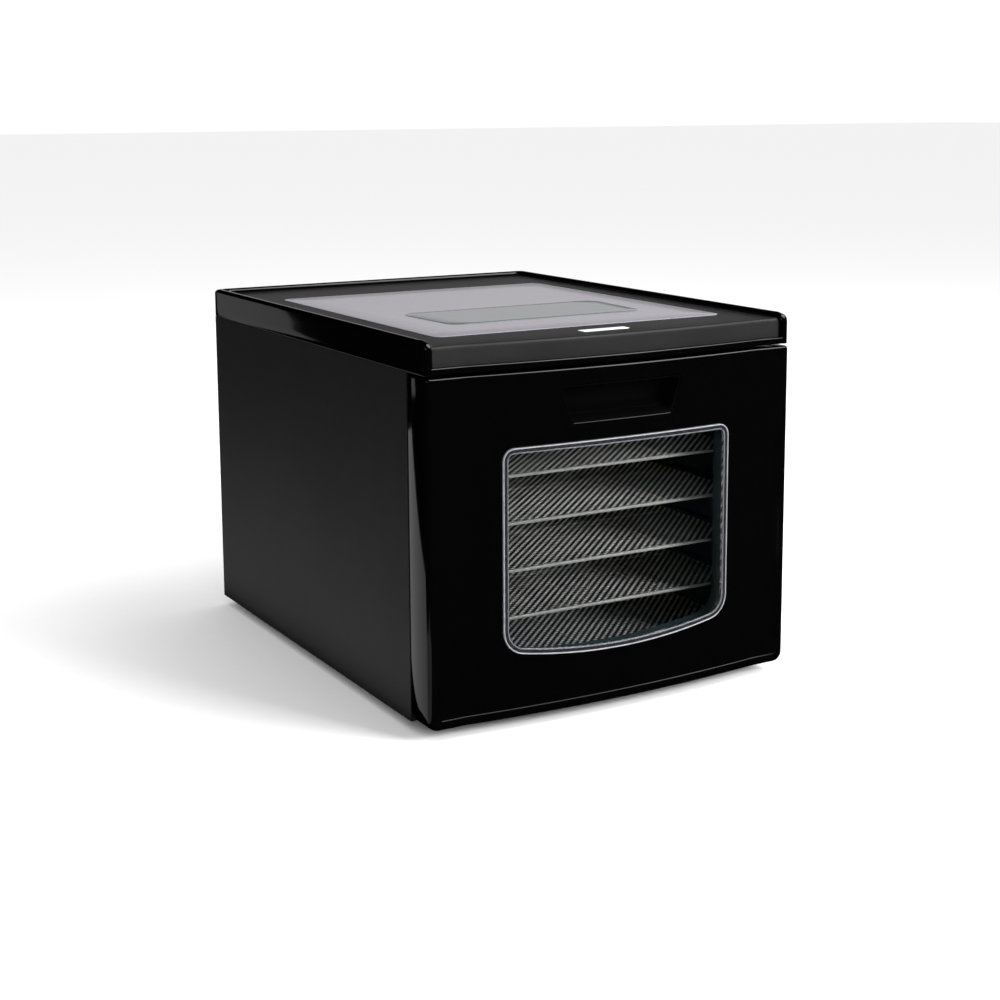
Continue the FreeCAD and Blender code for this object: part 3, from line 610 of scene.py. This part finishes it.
def window_bead():
    """Raised edge of the window moulding in three rings: a round outer roll whose pale colour is painted light,
    standing in for the light it gathers, a sunken dark channel and a thin inner roll, also paler as painted light.
    Each is a closed section, (inset, depth) pairs, carried round the window."""
    outer = [(0.2, 2.6), (0.2, -0.2), (0.30, -0.52), (0.50, -0.74), (0.72, -0.79), (0.96, -0.72), (1.14, -0.45)]
    outer += [(1.25, -0.1), (1.25, 2.6)]
    channel = [(1.28, 2.6), (1.28, 0.05), (1.6, 0.14), (3.5, 0.16), (3.72, 0.08), (3.72, 2.6)]
    inner = [(3.75, 2.6), (3.75, 0.0), (3.9, -0.22), (4.15, -0.32), (4.45, -0.22), (4.75, 0.05), (4.95, 0.62)]
    inner += [(4.95, 2.6)]
    rings = (("bead_outer_roll", outer, PAINTED_LIGHT_EDGE), ("bead_channel", channel, CHANNEL), ("bead_inner_roll", inner, LIT))
    for name, path, finish in rings:
        rows = [window_ring(inset, depth) for inset, depth in path]
        build(name, [sheet(np.array(rows), around=True, shut=True)], "door", "clear", finish, sharp=60)


def finger_cup():
    """Finger recess: a trapezoid loop carried backwards, its floor rising and its roof stepping up behind the
    lip, closed by a flat back, with an outer wall that follows the same loops a little larger."""
    def loop(half_low, low, half_top, top, r):
        corners = ((-half_low, low, r), (half_low, low, r), (half_top, top, r * 0.6), (-half_top, top, r * 0.6))
        return loop_of(corners, 0.0, (44, 14))

    def flat(loop, y):
        return np.stack([loop[:, 0], np.full(len(loop), y), loop[:, 1]], -1)

    mouth = loop(46.8, 242.2, 56.6, 269.8, 4.4)
    rows = [on_front(loop(47.8, 241.2, 57.8, 270.8, 5.0), 0.6), on_front(loop(47.5, 241.5, 57.4, 270.5, 4.8), 0.35)]
    rows += [on_front(mouth, 0.7), on_front(loop(46.4, 243.2, 56.2, 269.2, 4.2), 3.0)]
    rows += [flat(loop(46.0, 245.0, 55.9, 268.9, 4.0), -214.5), flat(loop(46.0, 245.6, 56.4, 270.2, 4.0), -213.0)]
    rows += [flat(loop(46.0, 246.4, 57.2, 274.6, 4.0), -212.0), flat(loop(46.0, 249.6, 57.2, 275.4, 4.0), -206.5)]
    rows += [flat(loop(45.0, 251.4, 56.2, 274.9, 3.6), -203.9), flat(loop(43.0, 253.6, 54.0, 273.0, 3.0), -203.0)]
    rows += [flat(loop(43.0, 253.6, 54.0, 273.0, 3.0) * share + np.array([0.0, 262.5]) * (1 - share), -203.0)
             for share in (0.5, 0.0)]
    rows += [flat(loop(44.0, 252.6, 55.0, 275.0, 3.0) * share + np.array([0.0, 262.5]) * (1 - share), -201.4)
             for share in (0.0, 0.6, 1.0)]
    rows += [flat(loop(47.6, 248.6, 58.8, 277.2, 4.4), -203.0), flat(loop(47.6, 247.2, 58.8, 277.2, 4.4), -211.6)]
    rows += [flat(loop(47.7, 243.6, 57.7, 270.7, 4.6), -213.2), on_front(loop(47.8, 241.2, 57.8, 270.8, 5.0), 3.0)]
    return build("finger_cup", [sheet(np.array(rows), around=True, shut=True)], "door", "gloss_black", CUP,
                 swaps=["handle_cup"], sharp=35)


# ---- top
def plan_loop(inset):
    """Plan outline of the cover's base: bowed front with round corners, straight sides and back."""
    half = HALF - 0.15 - inset
    r = max(4.5 - inset, 0.3)
    back = float(cover_high[1]) - 0.2 - inset
    x = np.linspace(-half + r, half - r, 81)
    front = np.stack([x, FLAT_Y + 0.1 + inset - bow(x)], -1)
    k = np.radians(np.linspace(-90, 0, 9))
    right = np.stack([half - r + r * np.cos(k), FLAT_Y + 0.1 + inset + r + r * np.sin(k)], -1)
    y = np.linspace(FLAT_Y + 6 + inset, back - 3, 20)
    side = np.stack([np.full_like(y, half), y], -1)
    rear_x = np.linspace(half - 3, -half + 3, 24)
    rear = np.stack([rear_x, np.full_like(rear_x, back)], -1)
    flip = np.array([-1.0, 1.0])
    return np.concatenate([front, right[1:], side, rear, side[::-1] * flip, right[1:][::-1] * flip])


def cover_base():
    """Gloss ledge under the deck: a flat ring with rounded outer edges that carries the rim."""
    z0, z1 = float(cover_low[2]), LEDGE_Z
    steps = [(z0, 40.0), (z0, 0.9), (z0 + 0.25, 0.25), (z0 + 0.9, 0.0), (z1 - 1.6, 0.0), (z1 - 0.75, 0.25)]
    steps += [(z1 - 0.2, 0.8), (z1, 1.6), (z1, 40.0)]
    rows = []
    for z, inset in steps:
        loop = plan_loop(inset)
        rows.append(np.column_stack([loop, np.full(len(loop), z)]))
    return build("cover_base", [sheet(np.array(rows), around=True, shut=True)], "housing", "gloss_black")


def rim_paths():
    """Outer and inner plan lines of the raised rim, left side, back and right side, matched point by point."""
    def path(x, back, r):
        y = np.linspace(FLAT_Y + RIM_W / 2, back - r, 60)
        left = np.stack([np.full_like(y, -x), y], -1)
        a = np.radians(np.linspace(180, 90, 9)[1:])
        bend = np.stack([-x + r + r * np.cos(a), back - r + r * np.sin(a)], -1)
        rear = np.linspace(-x + r, 0, 24)[1:]
        return np.concatenate([left, bend, np.stack([rear, np.full_like(rear, back)], -1)])

    half = [path(HALF, float(cover_high[1]), 3.0), path(HALF - RIM_W, float(cover_high[1]) - RIM_W, 7.0)]
    flip = np.array([-1.0, 1.0])
    return [np.concatenate([p, p[:-1][::-1] * flip]) for p in half]


def cover_rim():
    """Raised gloss rim: a tall rounded section carried round three sides. At each front end the section narrows
    to its middle along a half circle, and its height falls off along a larger quarter circle."""
    outer, inner = rim_paths()
    r = 3.7
    z0, z1 = float(cover_low[2]), float(cover_high[2])
    rise = [(0.5, z0), (0.06, z0), (0.02, z0 + 0.2), (0.0, z0 + 0.7)] + [(0.0, z) for z in (z0 + 8, z0 + 16)]
    rise += [(inset / RIM_W, z1 - drop) for inset, drop in eased(r, 9)]
    fall = [(1 - inset / RIM_W, z1 - drop) for inset, drop in reversed(eased(r, 9))] + [(1.0, z0 + 10), (1.0, z0)]
    section = np.array(rise + fall)
    ends = np.radians(np.linspace(90, 0, 12)[:-1])
    squeeze = np.concatenate([np.cos(ends), np.ones(len(outer)), np.cos(ends)[::-1]])
    ahead = np.concatenate([np.sin(ends), np.zeros(len(outer)), np.sin(ends)[::-1]]) * RIM_W / 2
    count = len(ends)
    out = np.concatenate([np.repeat(outer[:1], count, 0), outer, np.repeat(outer[-1:], count, 0)])
    ins = np.concatenate([np.repeat(inner[:1], count, 0), inner, np.repeat(inner[-1:], count, 0)])
    share = 0.5 + (section[None, :, 0] - 0.5) * squeeze[:, None]
    flat = out[:, None, :] + share[..., None] * (ins - out)[:, None, :]
    flat[..., 1] -= ahead[:, None]
    nose = 9.0
    near = np.clip(nose - (flat[..., 1] - FLAT_Y), 0, nose)
    fall_off = nose - np.sqrt(nose ** 2 - near ** 2)
    z = z0 + (section[None, :, 1] - z0) * (1 - fall_off / (z1 - z0))
    grid = np.concatenate([flat, z[..., None]], -1)
    return build("cover_rim", [sheet(grid, around=True)], "housing", "gloss_black", swaps=["top_cover"], sharp=45)


def deck():
    """Satin deck: a front lip that rolls over into the flat top, the whole following the bow of the door."""
    x = np.unique(np.concatenate([np.linspace(-166, 166, 67), [-BOW_HALF, BOW_HALF]]))
    roll = 3.6
    front = [(4.0, LEDGE_Z - 0.4), (4.0, LEDGE_Z + 4), (4.0, DECK_Z - roll - 3)]
    front += [(4.0 + inset, DECK_Z - drop) for inset, drop in eased(roll, 9)]
    rows = [np.stack([x, FLAT_Y + back - bow(x), np.full_like(x, z)], -1) for back, z in front]
    for y in (-190, -120, -40, 40, 120, 200, 219):
        rows.append(np.stack([x, np.full_like(x, y), np.full_like(x, DECK_Z)], -1))
    rows.append(np.stack([x, np.full_like(x, 219.0), np.full_like(x, LEDGE_Z - 0.4)], -1))
    return build("deck", [sheet(np.array(rows), shut=True)], "housing", "satin_dark", swaps=["top_deck"],
                 fill=True, sharp=50)


def pad(corners, z0, z1, ease, sides=(30, 30)):
    """Closed flat sheet with rounded plan corners and an eased upper edge."""
    rows = []
    middle = np.mean([c[:2] for c in corners], 0)
    steps = [(z0, 0.0)] + [(z1 - drop, inset) for inset, drop in eased(ease, 4)]
    for z, inset in steps:
        loop = loop_of(corners, inset, sides)
        rows.append(np.column_stack([loop, np.full(len(loop), z)]))
    top = loop_of(corners, ease, sides)
    for share in (0.8, 0.55, 0.3, 0.0):
        rows.append(np.column_stack([middle + (top - middle) * share, np.full(len(top), z1)]))
    rows.insert(0, np.column_stack([middle + (top - middle) * 0.0, np.full(len(top), z0)]))
    return sheet(np.array(rows), around=True)


def plan_pad(name, node, corners, slot, ease):
    """A flat sheet with eased edges between the heights of its CAD node."""
    low, high = span(node)
    made = pad(corners, float(low[2]), float(high[2]), ease)
    return build(name, [made], "housing", slot, swaps=[node], sharp=50)


def rectangle(x0, x1, y0, y1, r):
    """Corners with their radius, anticlockwise."""
    return [(x0, y0, r), (x1, y0, r), (x1, y1, r), (x0, y1, r)]


def top_sheets():
    """Inlay, touch panel and plain badge, each a thin sheet lying on the one below."""
    low, high = span("top_inlay")
    plan_pad("inlay_sheet", "top_inlay", rectangle(low[0], high[0], low[1], high[1], 9.0), "inlay_grey", 0.3)
    panel = [(-92, -112, 14), (96, -112, 14), (101, -22, 14), (-97, -22, 14)]
    plan_pad("touch_sheet", "touch_panel", panel, "panel_light", 0.25)
    low, high = span("badge")
    plan_pad("plain_badge", "badge", rectangle(low[0], high[0], low[1] + 1, high[1] - 1, 1.5), "badge_pale", 0.2)


# ---- trays
def tube(path, r, around=False, sides=10):
    """Round bar along a path: the section turns with the path and stays upright. Open ends are drawn in to a point."""
    nxt = np.roll(path, -1, 0)
    prv = np.roll(path, 1, 0)
    ahead = nxt - prv
    if not around:
        ahead[0] = path[1] - path[0]
        ahead[-1] = path[-1] - path[-2]
    ahead /= np.linalg.norm(ahead, axis=1)[:, None]
    up = np.array([0.0, 0.0, 1.0]) - ahead * ahead[:, 2:3]
    up /= np.linalg.norm(up, axis=1)[:, None]
    side = np.cross(ahead, up)
    a = np.linspace(0, 2 * math.pi, sides, endpoint=False)
    ring = side[:, None] * np.cos(a)[None, :, None] + up[:, None] * np.sin(a)[None, :, None]
    grid = path[:, None] + r * ring
    if around:
        return sheet(grid, around=True, shut=True)
    tips = [np.repeat((path[k] + s * r * ahead[k])[None], sides, 0) for k, s in ((0, -0.5), (-1, 0.5))]
    caps = [path[k] + s * r * 0.35 * ahead[k] + 0.75 * r * ring[k] for k, s in ((0, -1), (-1, 1))]
    return sheet(np.concatenate([tips[0][None], caps[0][None], grid, caps[1][None], tips[1][None]]), around=True)


def tray_frame(n):
    """Rod frame bent round with rounded corners, three long bars and two cross bars welded under the mesh."""
    low, high = span("tray_%d_frame" % n)
    z = (low[2] + high[2]) / 2
    r = 1.5
    loop = loop_of(rectangle(low[0] + r, high[0] - r, low[1] + r, high[1] - r, 7.0), 0.0, (40, 40))
    sheets = [tube(np.column_stack([loop, np.full(len(loop), z)]), r, around=True, sides=14)]
    for x in (-76.0, 0.0, 76.0):
        y = np.linspace(low[1] + r, high[1] - r, 24)
        sheets.append(tube(np.stack([np.full_like(y, x), y, np.full_like(y, z - 0.3)], -1), 1.0))
    for y in (-75.0, 32.0):
        x = np.linspace(low[0] + r, high[0] - r, 24)
        sheets.append(tube(np.stack([x, np.full_like(x, y), np.full_like(x, z - 0.5)], -1), 1.0))
    return build("tray_%d_rods" % n, sheets, "tray_%d" % n, "steel_wire", swaps=["tray_%d_frame" % n], merge=False)


def woven_mesh(n, pitch=MESH_PITCH, thick=0.31, sides=3):
    """Plain woven wire: a wire's height follows a cosine with one crest on one crossing wire and one trough under
    the next, two points to every crossing, and neighbouring wires swing the opposite way. Three-sided section."""
    low, high = span("tray_%d_mesh" % n)
    middle = (low + high) / 2
    z = float(low[2]) + 0.4
    counts = [int((high[axis] - low[axis] - 1) / pitch) for axis in (0, 1)]
    sheets = []
    for axis in (0, 1):
        other = 1 - axis
        i = np.arange(counts[other] + 1)
        step = np.arange(2 * counts[axis] + 1)
        lines = middle[other] + (i - counts[other] / 2) * pitch
        along = middle[axis] + (step / 2 - counts[axis] / 2) * pitch
        swing = np.cos(math.pi * step / 2)[None, :] * np.where(i % 2 == axis, 1, -1)[:, None] * thick * 0.9
        a = np.radians(90 + 360.0 / sides * np.arange(sides))
        height = z + swing[..., None] + thick * np.sin(a)
        run = np.broadcast_to(along[None, :, None], height.shape)
        across = np.broadcast_to(lines[:, None, None] + thick * np.cos(a), height.shape)
        pair = (run, across) if axis == 0 else (across, run)
        grid = np.stack([pair[0], pair[1], height], -1)
        wires, steps = grid.shape[:2]
        w = np.arange(wires)[:, None, None] * steps * sides
        s = np.arange(steps - 1)[None, :, None] * sides
        f = np.arange(sides)[None, None, :]
        g = (f + 1) % sides
        quads = np.stack([w + s + f, w + s + g, w + s + sides + g, w + s + sides + f], -1).reshape(-1, 4)
        sheets.append((grid.reshape(-1, 3), quads if axis else quads[:, ::-1]))
    return build("tray_%d_woven" % n, sheets, "tray_%d" % n, "steel_wire", MESH_WIRE,
                 swaps=["tray_%d_mesh" % n], sharp=180, merge=False)


# ---- feet
def lathe(profile, x, y, steps=48):
    """Turned piece: (radius, z) profile carried round a vertical line at (x, y)."""
    a = np.linspace(0, 2 * math.pi, steps, endpoint=False)
    p = np.array(profile, float)
    grid = np.stack([x + p[:, :1] * np.cos(a), y + p[:, :1] * np.sin(a), np.repeat(p[:, 1:], steps, 1)], -1)
    return sheet(grid, around=True)


def feet():
    """Four rubber feet: a tapered puck with a rounded tread ring and a screw recess."""
    low, high = span("feet")
    r = 12.0
    top = float(high[2])
    profile = [(2.1, top), (r - 0.4, top), (r, top - 0.4), (r - 1.3, 1.2), (r - 1.7, 0.35), (r - 2.5, 0.0)]
    profile += [(6.0, 0.0), (5.2, 0.3), (4.8, 1.0), (4.5, 5.0), (2.1, 5.0), (2.1, top)]
    places = [(x, y) for x in (low[0] + r, high[0] - r) for y in (low[1] + r, high[1] - r)]
    return build("rubber_feet", [lathe(profile, x, y) for x, y in places], "housing", "rubber_black", swaps=["feet"])


# ---- CAD pieces that keep their own shape
def dress_cad():
    """Gives every CAD piece that is still shown the finish of its own record slot."""
    slots = {s["node"]: s["material_slot"] for s in frame["record"]["subparts"]}
    for name, node in frame["nodes"].items():
        if node.hide_render:
            continue
        node.data.materials.clear()
        node.data.materials.append(FINISH[slots[name]])


# ---- studio
def softbox(name, place, target, size, radiance, mirrored):
    """Rectangular studio light that points at target; radiance is how bright its face looks."""
    data = bpy.data.lights.new(name, "AREA")
    data.shape = "RECTANGLE"
    data.size, data.size_y = size
    data.energy = radiance * math.pi * size[0] * size[1]
    light = bpy.data.objects.new(name, data)
    light.location = place
    light.visible_camera = False
    light.visible_glossy = mirrored
    bpy.context.scene.collection.objects.link(light)
    light.rotation_euler = (Vector(target) - light.location).to_track_quat("-Z", "Y").to_euler()


# name, place, aimed at, width and height, radiance, whether gloss mirrors it
SOFT_LIGHTS = (
    ("rear_sheet", (1.15, 2.0, 0.46), (0, 0, 0.30), (3.4, 0.92), 0.45, True),
    ("overhead", (1.0, -0.6, 1.9), (0, -0.1, 0.2), (1.3, 1.3), 5.0, True),
    ("front_right", (1.05, -1.84, 1.0), (0, -0.1, 0.15), (0.95, 0.8), 26.0, False),
    ("front_glint", (1.05, -1.84, 1.0), (0, -0.1, 0.15), (0.95, 0.8), 4.5, True),
    ("key", (-1.3, -1.9, 1.6), (0, -0.1, 0.15), (0.7, 0.7), 2.0, True),
    ("right_box", (2.3, 0.3, 1.0), (0, 0, 0.15), (1.0, 1.4), 1.2, True),
    ("left_card", (-0.31, 0.30, 0.004), (-0.31, 0.30, 1.0), (0.24, 1.5), 0.45, True),
    ("rear_card", (-0.585, 1.22, 0.20), (-0.172, 0.17, 0.30), (0.16, 0.36), 0.3, True),
)


def studio():
    """Pale floor and pale surroundings that the glossy surfaces don't mirror, and soft lights that they do."""
    mesh = bpy.data.meshes.new("floor")
    mesh.from_pydata([(-30, -30, 0), (30, -30, 0), (30, 30, 0), (-30, 30, 0)], [], [(0, 1, 2, 3)])
    mesh.materials.append(pale_floor())
    floor = bpy.data.objects.new("floor", mesh)
    floor.visible_glossy = False
    bpy.context.scene.collection.objects.link(floor)
    world = bpy.context.scene.world or bpy.data.worlds.new("studio")
    bpy.context.scene.world = world
    world.use_nodes = True
    world.cycles_visibility.glossy = False
    back = world.node_tree.nodes["Background"]
    back.inputs[0].default_value = (1.0, 1.0, 1.0, 1.0)
    back.inputs[1].default_value = 1.02
    for light in SOFT_LIGHTS:
        softbox(*light)


def camera():
    """Looks at the left front corner from a little above."""
    data = bpy.data.cameras.new("camera")
    data.sensor_width = 36.0
    data.lens = 61.27
    data.shift_y = -0.12
    data.clip_start = 0.05
    obj = bpy.data.objects.new("camera", data)
    obj.location = (-0.7449, -1.3280, 0.4869)
    obj.rotation_euler = (math.pi / 2 - 0.1605, 0.0051, -0.5209)
    bpy.context.scene.collection.objects.link(obj)
    bpy.context.scene.camera = obj


door_shell()
hinge_bosses()
window_pane()
window_bead()
finger_cup()
cover_base()
cover_rim()
deck()
top_sheets()
for number in range(1, TRAYS + 1):
    tray_frame(number)
    woven_mesh(number)
feet()
dress_cad()
studio()
camera()
bpy.context.scene.view_settings.view_transform = "Standard"
